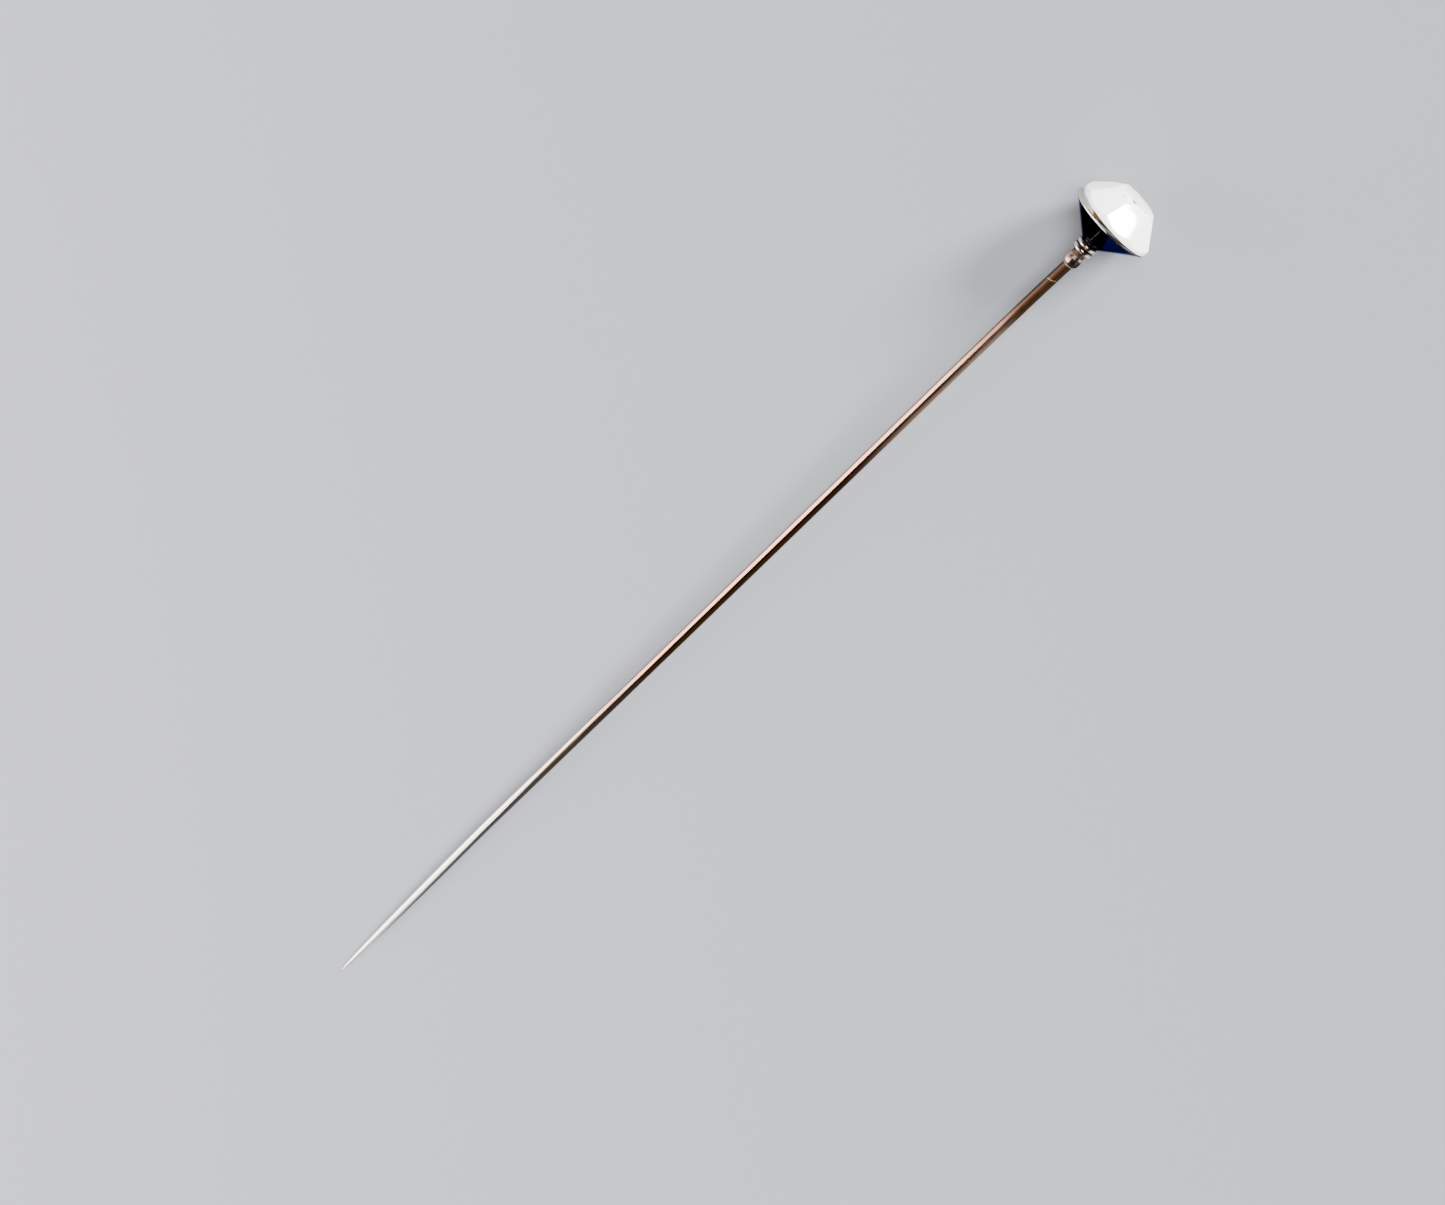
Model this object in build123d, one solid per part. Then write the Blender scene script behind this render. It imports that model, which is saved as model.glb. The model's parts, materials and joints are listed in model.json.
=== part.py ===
from build123d import *

import math
import os

# A hat pin: a plain steel shank with a ground point, soldered into a small turned neck
# that carries a conical metal cup. A stepped bezel closes the cup's mouth, and a high
# faceted glass stone is cemented on it, a little off centre and out of true.
#
# The frame: the pin's own axis is the X axis, and +X runs towards the point. The origin
# is on that axis, where the free part of the shank begins under the head. The head lies
# at negative X, and every "back" value below is a distance from the origin towards the
# stone, in millimetres. +Z is up, the side of the pin that shows when it is worn.

# Shank
SHANK_RADIUS = 0.60
SHANK_LENGTH = 136.0  # from the origin to the tip of the point
POINT_LENGTH = 28.0  # the ground taper, a quarter ellipse in profile
QUARTER_HANDLE = 0.5523  # Bezier handle that draws a quarter ellipse, of each radius
TANG_RADIUS = 0.42  # the thinner end that runs on inside the neck

# Neck: the turned sleeve with its two rings
SOLDER_BACK = 0.15  # thickness of the solder line under the sleeve
SLEEVE_MOUTH_RADIUS = 0.74
SLEEVE_MOUTH_BEVEL = 0.22
SLEEVE_RADIUS = 0.92
SLEEVE_SHOULDER_BACK = 1.15  # where the sleeve begins to narrow
TUBE_RADIUS = 0.76  # the narrow part that the rings are threaded on
RING_RADIUS = 1.20
LOWER_RING_BACK = 1.85
LOWER_RING_WIDTH = 0.68
UPPER_RING_WIDTH = 0.58

# Cup
CUP_BACK = 3.20  # the cup's small end
CUP_SMALL_RADIUS = 1.13
MOUTH_BACK = 6.00  # the cup's mouth, where the bezel sits
CUP_MOUTH_RADIUS = 4.62
CUP_WALL = 0.30
CUP_FLOOR = 0.38

# Bezel: a rounded bead, and a collar inside it that stands up to the stone
BEAD_RADIUS = 4.75
BEAD_WIDTH = 0.38
COLLAR_RADIUS = 4.50
BEZEL_BORE = 4.15

# Stone, in its own frame: heights are above the seat, which is its flat underside
SEAT_HEIGHT = 0.525  # the seat's centre, above the cup's mouth
SEAT_TILT = 3.3  # degrees, which lifts the -Y side
SEAT_SHIFT = 0.17  # the stone's centre, off the pin's axis towards +Y
GIRDLE_RADIUS = 4.65
TABLE_HEIGHT = 3.18
PAVILION_RADIUS = 3.85
PAVILION_BACK_RADIUS = 3.10
PAVILION_DEPTH = 0.60
# Each tier of facets: how many, the turn of the first one and the slope from the
# table in degrees, and the radius and height of a point that every facet passes.
CROWN_TIERS = [
    (8, 12.7, 36.9, 2.09, TABLE_HEIGHT),
    (8, 35.2, 49.2, 2.32, TABLE_HEIGHT - 0.15),
    (16, 23.95, 73.6, GIRDLE_RADIUS, 0.34),
]

# Inside the cup
FIT = 0.01  # clearance between seated pieces
FOIL = 0.05
WASHER_RADIUS = 1.00
WASHER_WIDTH = 0.20
RIVET_RADIUS = 0.78
RIVET_HEIGHT = 0.30

# Worked out from the values above
TUBE_BORE = TANG_RADIUS + FIT
CUP_SLOPE = (CUP_MOUTH_RADIUS - CUP_SMALL_RADIUS) / (MOUTH_BACK - CUP_BACK)
CUP_INSET = CUP_WALL * math.hypot(1, CUP_SLOPE)  # the wall, measured across the axis
FLOOR_BACK = CUP_BACK + CUP_FLOOR
RIVET_BACK = FLOOR_BACK + WASHER_WIDTH + FIT
SEAT = Location((-MOUTH_BACK - SEAT_HEIGHT, SEAT_SHIFT, 0), (0, 0, -SEAT_TILT))


def turned(outline, rounds=()):
    """The solid that an outline of (back, radius) points makes round the X axis.
    rounds lists (back, radius, fillet) for the corners that are rounded."""
    line = Polyline(*[(-back, radius) for back, radius in outline], close=True)
    face = make_face(line)
    for back, radius, round_radius in rounds:
        corner = face.vertices().sort_by_distance((-back, radius, 0))[0]
        face = fillet(corner, round_radius)
    return revolve(face, Axis.X)


def on_seat(solid):
    """Moves a solid from the stone's own frame, where the seat is the plane X = 0 and
    the stone rises towards -X, to its place on the bezel."""
    return SEAT * solid


def below_seat(solid, gap):
    """Trims off what stands higher than a gap under the stone's seat."""
    level = Plane(origin=(gap, 0, 0), z_dir=(-1, 0, 0))
    return on_seat(split(SEAT.inverse() * solid, bisect_by=level, keep=Keep.BOTTOM))


def make_shank():
    """The wire: plain round length, ground point, shoulder and tang, with the tang's
    end spread into a rivet head over the washer."""
    taper_start = SHANK_LENGTH - POINT_LENGTH
    head_back = RIVET_BACK + RIVET_HEIGHT
    body = Polyline(
        (taper_start, SHANK_RADIUS),
        (0, SHANK_RADIUS),
        (0, TANG_RADIUS),
        (-RIVET_BACK, TANG_RADIUS),
        (-RIVET_BACK, RIVET_RADIUS),
    )
    dome_radius = (RIVET_RADIUS**2 + RIVET_HEIGHT**2) / (2 * RIVET_HEIGHT)
    dome_angle = math.degrees(math.asin(RIVET_RADIUS / dome_radius))
    rivet = CenterArc((dome_radius - head_back, 0), dome_radius, 180 - dome_angle, dome_angle)
    axis_line = Line((-head_back, 0), (SHANK_LENGTH, 0))
    point = Bezier(
        (SHANK_LENGTH, 0),
        (SHANK_LENGTH, QUARTER_HANDLE * SHANK_RADIUS),
        (taper_start + QUARTER_HANDLE * POINT_LENGTH, SHANK_RADIUS),
        (taper_start, SHANK_RADIUS),
    )
    return revolve(make_face([body, rivet, axis_line, point]), Axis.X)


def make_shank_solder():
    """The small cone of solder between the shank's shoulder and the sleeve."""
    return turned(
        [
            (FIT, TUBE_BORE),
            (FIT, SHANK_RADIUS),
            (SOLDER_BACK, SLEEVE_MOUTH_RADIUS - FIT),
            (SOLDER_BACK, TUBE_BORE),
        ]
    )


def make_neck_sleeve():
    """The barrel-shaped ferrule, running on as a tube under the two rings."""
    mouth = SOLDER_BACK + FIT
    barrel = mouth + SLEEVE_MOUTH_BEVEL
    waist = LOWER_RING_BACK - 0.15
    end = CUP_BACK - FIT
    return turned(
        [
            (mouth, TUBE_BORE),
            (mouth, SLEEVE_MOUTH_RADIUS),
            (barrel, SLEEVE_RADIUS),
            (SLEEVE_SHOULDER_BACK, SLEEVE_RADIUS),
            (waist, TUBE_RADIUS),
            (end, TUBE_RADIUS),
            (end, TUBE_BORE),
        ],
        rounds=[
            (barrel, SLEEVE_RADIUS, 0.20),
            (SLEEVE_SHOULDER_BACK, SLEEVE_RADIUS, 0.80),
            (waist, TUBE_RADIUS, 0.30),
        ],
    )


def make_neck_ring(back, width):
    """One ring with a rounded rim, threaded on the sleeve's tube."""
    inner = TUBE_RADIUS + FIT
    near = back + FIT
    far = back + width - FIT
    edge = 0.48 * (far - near)
    return turned(
        [(near, inner), (near, RING_RADIUS), (far, RING_RADIUS), (far, inner)],
        rounds=[(near, RING_RADIUS, edge), (far, RING_RADIUS, edge)],
    )


def make_neck_solder():
    """The thin fillet of solder between the upper ring and the cup."""
    start = LOWER_RING_BACK + LOWER_RING_WIDTH + UPPER_RING_WIDTH
    inner = TUBE_RADIUS + FIT
    return turned(
        [
            (start, inner),
            (start, CUP_SMALL_RADIUS - 0.16),
            (CUP_BACK - FIT, CUP_SMALL_RADIUS - 0.04),
            (CUP_BACK - FIT, inner),
        ]
    )


def make_back_cup():
    """The spun conical cup with a flat floor, drilled for the tang."""
    floor_radius = CUP_SMALL_RADIUS + CUP_SLOPE * CUP_FLOOR - CUP_INSET
    return turned(
        [
            (CUP_BACK, TUBE_BORE),
            (CUP_BACK, CUP_SMALL_RADIUS),
            (MOUTH_BACK, CUP_MOUTH_RADIUS),
            (MOUTH_BACK, CUP_MOUTH_RADIUS - CUP_INSET),
            (FLOOR_BACK, floor_radius),
            (FLOOR_BACK, TUBE_BORE),
        ]
    )


def make_anchor_washer():
    """The washer on the cup's floor that the tang is riveted over."""
    near = FLOOR_BACK + FIT
    far = FLOOR_BACK + WASHER_WIDTH
    return turned(
        [(near, TUBE_BORE), (near, WASHER_RADIUS), (far, WASHER_RADIUS), (far, TUBE_BORE)]
    )


def make_cement_bed():
    """The cement that fills the cup behind the foil and locks the rivet head."""
    top = MOUTH_BACK + SEAT_HEIGHT
    inset = CUP_INSET + 2 * FIT
    rivet_room = RIVET_RADIUS + 2 * FIT
    cement = turned(
        [
            (RIVET_BACK, rivet_room),
            (RIVET_BACK, CUP_SMALL_RADIUS + CUP_SLOPE * (RIVET_BACK - CUP_BACK) - inset),
            (MOUTH_BACK, CUP_MOUTH_RADIUS - inset),
            (top, CUP_MOUTH_RADIUS - inset),
            (top, 0),
            (RIVET_BACK + RIVET_HEIGHT + 2 * FIT, 0),
            (RIVET_BACK + RIVET_HEIGHT + 2 * FIT, rivet_room),
        ]
    )
    return below_seat(cement, PAVILION_DEPTH + FOIL + 2 * FIT)


def make_bezel():
    """The stepped ring on the cup's mouth: a rounded bead outside and a narrower
    collar inside it, dressed off to the stone's seat."""
    near = MOUTH_BACK + FIT
    step = MOUTH_BACK + BEAD_WIDTH
    top = MOUTH_BACK + 2 * SEAT_HEIGHT
    bezel = turned(
        [
            (near, BEZEL_BORE),
            (near, BEAD_RADIUS),
            (step, BEAD_RADIUS),
            (step, COLLAR_RADIUS),
            (top, COLLAR_RADIUS),
            (top, BEZEL_BORE),
        ],
        rounds=[(near, BEAD_RADIUS, 0.16), (step, BEAD_RADIUS, 0.14)],
    )
    return below_seat(bezel, FIT)


def make_foil_backing():
    """The bright foil pressed over the stone's pavilion."""
    slant = (PAVILION_RADIUS - PAVILION_BACK_RADIUS) / PAVILION_DEPTH
    edge = 0.15  # how far below the seat the foil stops
    edge_radius = PAVILION_RADIUS - slant * edge + 2 * FIT
    back_radius = PAVILION_BACK_RADIUS + FIT
    back = PAVILION_DEPTH + FIT
    foil = turned(
        [
            (-back, 0),
            (-back, back_radius),
            (-edge, edge_radius),
            (-edge, edge_radius + FOIL),
            (-back - FOIL, back_radius + FOIL),
            (-back - FOIL, 0),
        ]
    )
    return on_seat(foil)


def make_stone():
    """The stone: a shallow pavilion that drops into the bezel, a round girdle, and a
    high crown cut in three tiers of facets under an eight-sided table."""
    stone = turned(
        [
            (-PAVILION_DEPTH, 0),
            (-PAVILION_DEPTH, PAVILION_BACK_RADIUS),
            (0, PAVILION_RADIUS),
            (0, GIRDLE_RADIUS),
            (TABLE_HEIGHT, GIRDLE_RADIUS),
            (TABLE_HEIGHT, 0),
        ]
    )
    for count, first_turn, slope, radius, height in CROWN_TIERS:
        for index in range(count):
            turn = math.radians(first_turn + 360 * index / count)
            cut = facet_plane(turn, math.radians(slope), radius, height)
            stone = split(stone, bisect_by=cut, keep=Keep.BOTTOM)
    return on_seat(stone)


def facet_plane(turn, slope, radius, height):
    """The plane of one crown facet, facing away from the stone."""
    spoke = Vector(0, math.cos(turn), math.sin(turn))
    up = Vector(-1, 0, 0)
    return Plane(
        origin=spoke * radius + up * height,
        z_dir=spoke * math.sin(slope) + up * math.cos(slope),
    )


PIECES = {
    "shank": make_shank(),
    "shank_solder": make_shank_solder(),
    "neck_sleeve": make_neck_sleeve(),
    "lower_neck_ring": make_neck_ring(LOWER_RING_BACK, LOWER_RING_WIDTH),
    "upper_neck_ring": make_neck_ring(
        LOWER_RING_BACK + LOWER_RING_WIDTH, UPPER_RING_WIDTH
    ),
    "neck_solder": make_neck_solder(),
    "back_cup": make_back_cup(),
    "anchor_washer": make_anchor_washer(),
    "cement_bed": make_cement_bed(),
    "foil_backing": make_foil_backing(),
    "bezel": make_bezel(),
    "stone": make_stone(),
}

os.makedirs("parts", exist_ok=True)
for name, piece in PIECES.items():
    export_step(piece, f"parts/{name}.step")
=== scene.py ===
import json
import math

import bmesh
import bpy
from mathutils import Matrix, Vector, noise


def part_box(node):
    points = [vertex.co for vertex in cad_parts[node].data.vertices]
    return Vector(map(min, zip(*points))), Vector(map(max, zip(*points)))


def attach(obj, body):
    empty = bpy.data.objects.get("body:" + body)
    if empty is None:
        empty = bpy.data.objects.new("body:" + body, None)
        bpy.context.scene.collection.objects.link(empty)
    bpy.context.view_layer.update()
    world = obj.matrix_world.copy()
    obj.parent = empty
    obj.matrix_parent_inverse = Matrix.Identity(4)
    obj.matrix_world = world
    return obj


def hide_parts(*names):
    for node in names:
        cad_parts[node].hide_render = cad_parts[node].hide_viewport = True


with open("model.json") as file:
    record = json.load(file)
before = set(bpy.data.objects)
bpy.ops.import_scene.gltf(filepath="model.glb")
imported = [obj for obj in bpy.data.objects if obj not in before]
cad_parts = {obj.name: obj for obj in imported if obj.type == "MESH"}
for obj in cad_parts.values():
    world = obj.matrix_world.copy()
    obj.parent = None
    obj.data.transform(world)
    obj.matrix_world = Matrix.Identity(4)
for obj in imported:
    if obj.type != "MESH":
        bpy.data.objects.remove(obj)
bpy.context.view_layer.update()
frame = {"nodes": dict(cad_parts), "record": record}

# Hat pin. Everything is worked out in millimetres and made in metres. As in the CAD
# frame, +X runs towards the point, and a "back" value is a distance along -X from the
# place where the free shank begins, towards the stone.
MM = 0.001


def edges_of(node):
    """A CAD node's lowest and highest corner, in millimetres."""
    low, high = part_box(node)
    return low / MM, high / MM


# Places read from the frame
TIP_X = edges_of("shank")[1].x
RIVET_BACK = -edges_of("shank")[0].x
SLEEVE_MOUTH = -edges_of("neck_sleeve")[1].x
SLEEVE_END = -edges_of("neck_sleeve")[0].x
LOWER_RING = tuple(-corner.x for corner in reversed(edges_of("lower_neck_ring")))
UPPER_RING = tuple(-corner.x for corner in reversed(edges_of("upper_neck_ring")))
CUP_BACK = -edges_of("back_cup")[1].x
MOUTH_BACK = -edges_of("back_cup")[0].x

# Sizes, as in the CAD source
SHANK_RADIUS = frame["record"]["mounts"][0]["dims"]["r_mm"]
POINT_LENGTH = 28.0
TANG_RADIUS = 0.42
RIVET_RADIUS = 0.78
RIVET_HEIGHT = 0.30
SLEEVE_RADIUS = 0.92
SLEEVE_MOUTH_RADIUS = 0.74
TUBE_BORE = 0.43
TUBE_RADIUS = 0.76
RING_RADIUS = 1.20
CUP_SMALL_RADIUS = 1.13
CUP_MOUTH_RADIUS = 4.62
CUP_WALL = 0.30
CUP_FLOOR = 0.38
BEAD_RADIUS = 4.75
BEAD_WIDTH = 0.38
COLLAR_RADIUS = 4.50
BEZEL_BORE = 4.15
SEAT_HEIGHT = 0.525
SEAT_TILT = math.radians(3.3)
SEAT_SHIFT = 0.17
GIRDLE_RADIUS = 4.65
TABLE_HEIGHT = 3.18
PAVILION_RADIUS = 3.85
PAVILION_BACK_RADIUS = 3.10
PAVILION_DEPTH = 0.60
# Crown facets, tier by tier: how many, the first one's turn round the axis and the
# slope in degrees, and the distance from the axis and height of a point on them
CROWN_TIERS = [
    (8, 12.7, 36.9, 2.09, TABLE_HEIGHT),
    (8, 35.2, 49.2, 2.32, TABLE_HEIGHT - 0.15),
    (16, 23.95, 73.6, GIRDLE_RADIUS, 0.34),
]
FIT = 0.01  # the gap between neighbouring pieces
SEAT = (
    Matrix.Translation((-MOUTH_BACK - SEAT_HEIGHT, SEAT_SHIFT, 0))
    @ Matrix.Rotation(-SEAT_TILT, 4, "Z")
)

# Sizes of what only the visible meshes have
CUP_BORE = 0.45
NICK_X = 2.2  # a small slanting nick in the shank near the sleeve
NICK_SLANT = 0.45  # how far it moves along the wire for each mm across
SHANK_BOW = 0.115  # how far the shank bows towards -Y under the head
BOW_X = 14.0  # where it bows furthest
SHANK_RISE = 0.05  # how far its middle stands up from a straight line
POINT_DRIFT = 0.44  # how far the tip leans towards +Y
DRIFT_X = 102.0  # where it begins to lean
EDGE_WEAR = 0.028  # how far the facets' edges are rounded
# Small chips: turn round the axis in degrees, distance from the axis, height above the
# seat, and size
CHIPS = [
    (90, 2.13, 3.16, 0.10),
    (94, 2.14, 3.16, 0.14),
    (99, 2.18, 3.14, 0.11),
    (52, 2.15, 3.15, 0.09),
    (121.5, 2.60, 2.71, 0.08),
    (301, 2.20, 3.16, 0.10),
    (214, 3.60, 1.90, 0.07),
    (205, 4.66, 0.20, 0.11),
    (330, 4.66, 0.30, 0.08),
    (250, 4.67, 0.10, 0.12),
]


# ---------------------------------------------------------------- meshes

def clamped(value):
    """The value, kept between 0 and 1."""
    return min(1.0, max(0.0, value))


def arc(back, radius, size, start, end, steps=10):
    """Points of a round corner in a profile: centre, radius of the corner, and its
    two angles in degrees, where 0 is towards the stone and 90 is outwards."""
    points = []
    for index in range(steps + 1):
        angle = math.radians(start + (end - start) * index / steps)
        points.append((back + size * math.cos(angle), radius + size * math.sin(angle)))
    return points


def straight(start, end, steps):
    """Evenly spaced points from start up to, but not including, end."""
    return [
        (
            start[0] + (end[0] - start[0]) * index / steps,
            start[1] + (end[1] - start[1]) * index / steps,
        )
        for index in range(steps)
    ]


def lathe(profile, segments, closed=True, shape=None):
    """A bmesh of a profile of (back, radius) points turned round the X axis.
    A point of radius 0 becomes one vertex. shape moves each point a little."""
    mesh = bmesh.new()
    rows = []
    for back, radius in profile:
        row = []
        for index in range(segments if radius > 0 else 1):
            angle = 2 * math.pi * index / segments
            place = Vector((-back, radius * math.cos(angle), radius * math.sin(angle)))
            if shape:
                place = shape(place)
            row.append(mesh.verts.new(place * MM))
        rows.append(row)
    pairs = list(zip(rows, rows[1:]))
    if closed:
        pairs.append((rows[-1], rows[0]))
    for near, far in pairs:
        for index in range(segments):
            after = (index + 1) % segments
            if len(near) == 1:
                mesh.faces.new((near[0], far[after], far[index]))
            elif len(far) == 1:
                mesh.faces.new((near[index], near[after], far[0]))
            else:
                mesh.faces.new((near[index], near[after], far[after], far[index]))
    bmesh.ops.recalc_face_normals(mesh, faces=mesh.faces)
    return mesh


def add_object(name, data):
    """A new object in the scene, with this data."""
    thing = bpy.data.objects.new(name, data)
    bpy.context.scene.collection.objects.link(thing)
    return thing


def mesh_data(name, mesh):
    """Turns a bmesh into mesh data, and frees it."""
    data = bpy.data.meshes.new(name)
    mesh.to_mesh(data)
    mesh.free()
    return data


def finish_piece(name, mesh, material, node, sharp=35):
    """Turns a bmesh into the piece that stands for a CAD node."""
    bmesh.ops.dissolve_degenerate(mesh, dist=1e-7, edges=mesh.edges)
    data = mesh_data(name, mesh)
    data.shade_smooth()
    data.set_sharp_from_angle(angle=math.radians(sharp))
    data.materials.append(material)
    piece = add_object(name, data)
    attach(piece, "root")
    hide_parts(node)
    return piece


def ripple(place, cell, size, seed):
    """A smooth random number of about +-size that changes over a cell, in mm."""
    spot = place / cell + Vector((seed * 7.3, seed * 3.1, -seed * 5.7))
    return size * noise.noise(spot)


def swell(place, amount):
    """Moves a point outwards from the X axis."""
    radius = math.hypot(place.y, place.z)
    if radius == 0:
        return place
    scale = 1 + amount / radius
    return Vector((place.x, place.y * scale, place.z * scale))


def uneven(*ripples, less=0.0, inner=0.0, fade=None):
    """A shape for lathe(): a surface with ripples, each given by its cell, size and
    seed, that is a little less full than its profile. With a fade it stays true at the
    inner radius and changes fully at that distance from it."""
    def shape(place):
        amount = sum(ripple(place, *one) for one in ripples) - less
        if fade:
            amount *= clamped((math.hypot(place.y, place.z) - inner) / fade)
        return swell(place, amount)

    return shape


def chip_centre(turn, radius, height, size):
    """Where the rough ball that bites out a chip is centred, just off the surface."""
    angle = math.radians(turn)
    spoke = Vector((0, math.cos(angle), math.sin(angle)))
    return SEAT @ (spoke * (radius + 0.55 * size) - Vector((height + 0.45 * size, 0, 0)))


# ---------------------------------------------------------------- node trees

class Nodes:
    """A material's node tree, with short ways to add what the materials here use.
    x, y, z and place are in millimetres, and back runs along -x."""

    usual = (0.3, 0.7)  # nearly all of a noise lies between these
    scratch = (0.64, 0.70)  # where a noise passes this, a scratch begins

    def __init__(self, name):
        self.material = bpy.data.materials.new(name)
        self.material.use_nodes = True
        self.tree = self.material.node_tree
        self.shader = self.tree.nodes["Principled BSDF"]
        metres = self.tree.nodes.new("ShaderNodeTexCoord").outputs["Object"]
        self.place = self.mapped(metres, (1 / MM, 1 / MM, 1 / MM))
        split = self.add("ShaderNodeSeparateXYZ")
        self.put(self.place, split.inputs[0])
        self.x, self.y, self.z = split.outputs

    @property
    def back(self):
        return self.times(self.x, -1.0)

    def add(self, kind, **settings):
        node = self.tree.nodes.new(kind)
        for key, value in settings.items():
            setattr(node, key, value)
        return node

    def put(self, value, socket):
        """Links or sets a value, whichever it is."""
        if isinstance(value, bpy.types.NodeSocket):
            self.tree.links.new(value, socket)
        else:
            socket.default_value = value

    def chain(self, operation, *values):
        """Works through the values from left to right with one operation."""
        total = values[0]
        for value in values[1:]:
            node = self.add("ShaderNodeMath", operation=operation)
            self.put(total, node.inputs[0])
            self.put(value, node.inputs[1])
            total = node.outputs[0]
        return total

    def plus(self, *values):
        return self.chain("ADD", *values)

    def minus(self, *values):
        return self.chain("SUBTRACT", *values)

    def times(self, *values):
        return self.chain("MULTIPLY", *values)

    def most(self, *values):
        return self.chain("MAXIMUM", *values)

    def mapped(self, place, scale, turn=(0, 0, 0)):
        """A place, stretched along the axes or turned round them."""
        node = self.add("ShaderNodeMapping")
        self.put(place, node.inputs["Vector"])
        node.inputs["Rotation"].default_value = turn
        node.inputs["Scale"].default_value = scale
        return node.outputs["Vector"]

    def noise(self, cells, detail=3.0, rough=0.55, stretch=(1, 1, 1), place=None):
        """Noise from 0 to 1, with about that many cells to the millimetre. An axis
        stretched by less than 1 has longer cells."""
        node = self.add("ShaderNodeTexNoise")
        self.put(self.mapped(place or self.place, stretch), node.inputs["Vector"])
        node.inputs["Scale"].default_value = cells
        node.inputs["Detail"].default_value = detail
        node.inputs["Roughness"].default_value = rough
        return node.outputs["Fac"]

    def scratches(self, cells, stretch, turn):
        """Thin, nearly straight random lines, 1 on a line and 0 between them."""
        turned = self.mapped(self.place, (1, 1, 1), turn)
        return self.span(self.noise(cells, 2.0, 0.5, stretch, turned), *self.scratch)

    def cracks(self, cells):
        """Distance to the edges of random cells."""
        node = self.add("ShaderNodeTexVoronoi", feature="DISTANCE_TO_EDGE")
        self.put(self.place, node.inputs["Vector"])
        node.inputs["Scale"].default_value = cells
        return node.outputs["Distance"]

    def span(self, value, low, high, to_low=0.0, to_high=1.0):
        """value from low to high, made to run smoothly from to_low to to_high."""
        node = self.add("ShaderNodeMapRange", interpolation_type="SMOOTHSTEP")
        self.put(value, node.inputs["Value"])
        node.inputs["From Min"].default_value = low
        node.inputs["From Max"].default_value = high
        node.inputs["To Min"].default_value = to_low
        node.inputs["To Max"].default_value = to_high
        return node.outputs["Result"]

    def below(self, value, low, high):
        """1 up to low, and then falling smoothly to 0 at high."""
        return self.span(value, low, high, 1.0, 0.0)

    def band(self, value, middle, core, reach):
        """1 within core of the middle value, and 0 further from it than reach."""
        off = self.minus(value, middle)
        return self.below(self.times(off, off), core**2, reach**2)

    def radius(self):
        """Distance from the pin's axis."""
        node = self.add("ShaderNodeVectorMath", operation="LENGTH")
        self.put(self.mapped(self.place, (0, 1, 1)), node.inputs[0])
        return node.outputs["Value"]

    def near(self, centre, inner, outer):
        """1 within the inner distance of a place in mm, and 0 past the outer one."""
        node = self.add("ShaderNodeVectorMath", operation="DISTANCE")
        self.put(self.place, node.inputs[0])
        node.inputs[1].default_value = centre
        return self.below(node.outputs["Value"], inner, outer)

    def blend(self, factor, first, second, way="MIX"):
        """first where factor is 0 and second where it is 1; both are colours."""
        node = self.add("ShaderNodeMix", data_type="RGBA", blend_type=way)
        self.put(factor, node.inputs["Factor"])
        for value, socket in ((first, node.inputs[6]), (second, node.inputs[7])):
            if isinstance(value, tuple):
                value = (*value, 1.0)
            self.put(value, socket)
        return node.outputs[2]

    def gloss(self, source, low, high, *added):
        """A roughness from low to high with a noise, and more where masks are 1."""
        value = self.span(source, *self.usual, low, high)
        for mask, amount in added:
            value = self.plus(value, self.times(mask, amount))
        return value

    def bump(self, height, depth, under=None):
        """A height from 0 to 1, as deep as depth in mm."""
        node = self.add("ShaderNodeBump")
        node.inputs["Strength"].default_value = 1.0
        node.inputs["Distance"].default_value = depth * MM
        self.put(height, node.inputs["Height"])
        if under is not None:
            self.put(under, node.inputs["Normal"])
        return node.outputs["Normal"]

    def finish(self, **sockets):
        """Sets the shader's sockets. A plain number or colour is set, not linked."""
        for name, value in sockets.items():
            label = name.replace("_", " ").replace("Colour", "Color")
            self.put(value, self.shader.inputs[label])
        return self.material


# ---------------------------------------------------------------- materials

def wire_across(nodes, drawn):
    """How far a place on the wire is from its bowed middle line, towards +Y, with a
    little of the drawing lines in it and more of the painted shade side near the head."""
    steps = nodes.times(nodes.x, 1 / BOW_X)
    fall = nodes.add("ShaderNodeMath", operation="EXPONENT")
    nodes.put(nodes.minus(1.0, steps), fall.inputs[0])
    bow = nodes.times(steps, fall.outputs[0], SHANK_BOW)
    # near the head the painted shade side reaches further towards -Y
    near_head = nodes.below(nodes.x, 5.5, 10.0)
    return nodes.plus(
        nodes.y, bow, nodes.times(drawn, 0.10), nodes.times(near_head, 0.13)
    )


def wire_tarnish(nodes, drawn, wander, dull):
    """The brown of the wire's first two thirds, with painted shade: a dark line and a
    darker side towards +Y, both paler between about 7 and 35 mm.
    """
    copper, dark_copper = (0.74, 0.43, 0.325), (0.098, 0.067, 0.049)
    # painted shade: the dark line past the middle, and the darker olive side towards +Y
    edge, pale_edge = (0.085, 0.035, 0.016), (0.27, 0.110, 0.060)
    olive, pale_olive = (0.062, 0.033, 0.016), (0.36, 0.250, 0.190)
    clean, rubbed_and_reflected = (1.0, 1.0, 1.0), (0.72, 0.70, 0.68)
    across = wire_across(nodes, drawn)
    handled = nodes.blend(dull, copper, dark_copper)
    # where the painted shade is paler
    pale = nodes.times(nodes.span(wander, 7.0, 14.0), nodes.below(nodes.x, 20.0, 35.0))
    border = nodes.blend(pale, edge, pale_edge)
    shaded_side = nodes.blend(pale, olive, pale_olive)
    brown = nodes.blend(nodes.span(across, -0.04, 0.02), handled, border)
    brown = nodes.blend(nodes.span(across, 0.06, 0.26), brown, shaded_side)
    worn = nodes.blend(drawn, clean, rubbed_and_reflected)
    return nodes.blend(1.0, brown, worn, "MULTIPLY")


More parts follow.
